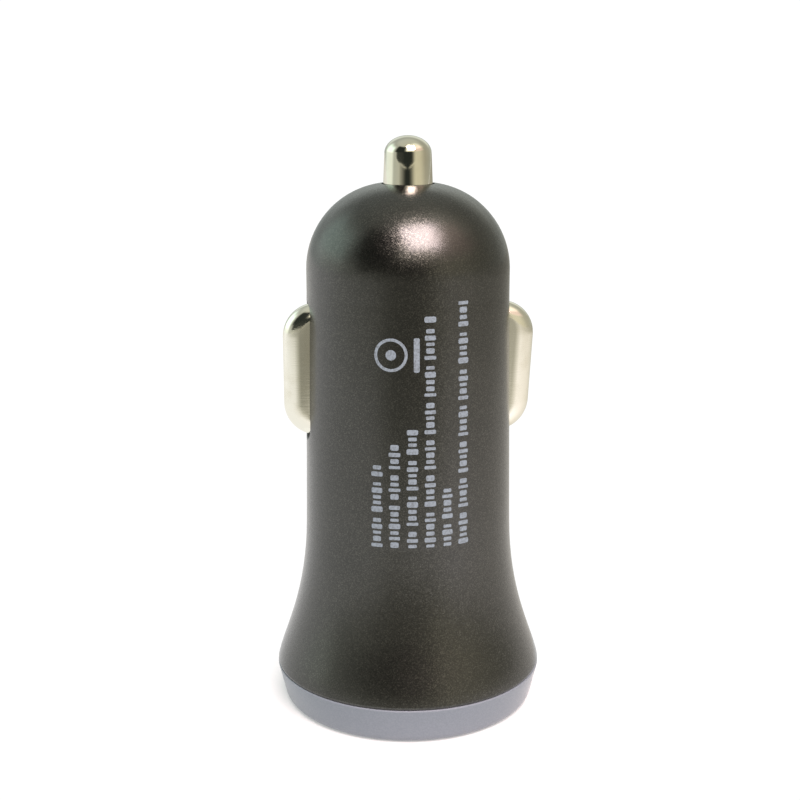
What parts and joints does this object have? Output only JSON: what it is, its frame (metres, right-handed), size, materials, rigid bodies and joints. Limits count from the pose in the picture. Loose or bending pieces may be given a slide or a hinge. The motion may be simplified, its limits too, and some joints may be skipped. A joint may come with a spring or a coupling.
{
  "type": "car usb charger plug",
  "caption": "Car USB charger plug: rounded barrel with a sprung tip and sprung side contacts for a 12 V socket, flaring to an end cap with a USB port.",
  "frame": {"origin": "centre of the port face, which the plug stands on", "axes": "+Z along the plug's axis towards the tip; the side contacts lie on the X axis"},
  "size_m": [0.0276, 0.0276, 0.0585],
  "materials": {
    "body_paint": "metallic brown-grey paint with fine flake under a clear coat",
    "cap_plastic": "matte blue-grey",
    "nickel": "polished warm nickel plate",
    "spring_steel": "plain spring steel",
    "port_steel": "tinned sheet",
    "port_plastic": "white moulding",
    "contact_brass": "plated brass",
    "board": "green solder mask",
    "can": "drawn can",
    "ferrite": "dark sintered ferrite",
    "copper": "enamelled copper wire",
    "chip_black": "black moulding compound",
    "chip_tan": "tan ceramic",
    "fuse_ceramic": "white ceramic"
  },
  "bodies": {
    "charger": {"housing": "body_paint", "end_cap": "cap_plastic", "usb_shell": "port_steel", "usb_tongue": "port_plastic", "usb_contacts": "contact_brass", "main_board": "board", "input_capacitor": "can", "output_capacitor": "can", "inductor_core": "ferrite", "inductor_winding": "copper", "converter_ic": "chip_black", "rectifier_diode": "chip_black", "input_fuse": "fuse_ceramic", "chip_resistors": "chip_black", "chip_capacitors": "chip_tan", "spring_terminal": "contact_brass", "tip_spring": "spring_steel", "ground_spring_left": "spring_steel", "ground_spring_right": "spring_steel"},
    "tip": {"tip_pin": "nickel"},
    "left_contact": {"ground_contact_left": "nickel"},
    "right_contact": {"ground_contact_right": "nickel"}
  },
  "joints": [
    {"name": "tip_press", "type": "slide", "parent": "charger", "child": "tip", "axis": [0, 0, -1], "range_m": [0, 0.003], "stiffness_N_per_m": 400, "deforming": ["tip_spring"]},
    {"name": "left_contact_press", "type": "slide", "parent": "charger", "child": "left_contact", "axis": [1, 0, 0], "range_m": [0, 0.002], "stiffness_N_per_m": 400, "deforming": ["ground_spring_left"]},
    {"name": "right_contact_press", "type": "slide", "parent": "charger", "child": "right_contact", "axis": [-1, 0, 0], "range_m": [0, 0.002], "stiffness_N_per_m": 400, "deforming": ["ground_spring_right"]}
  ]
}
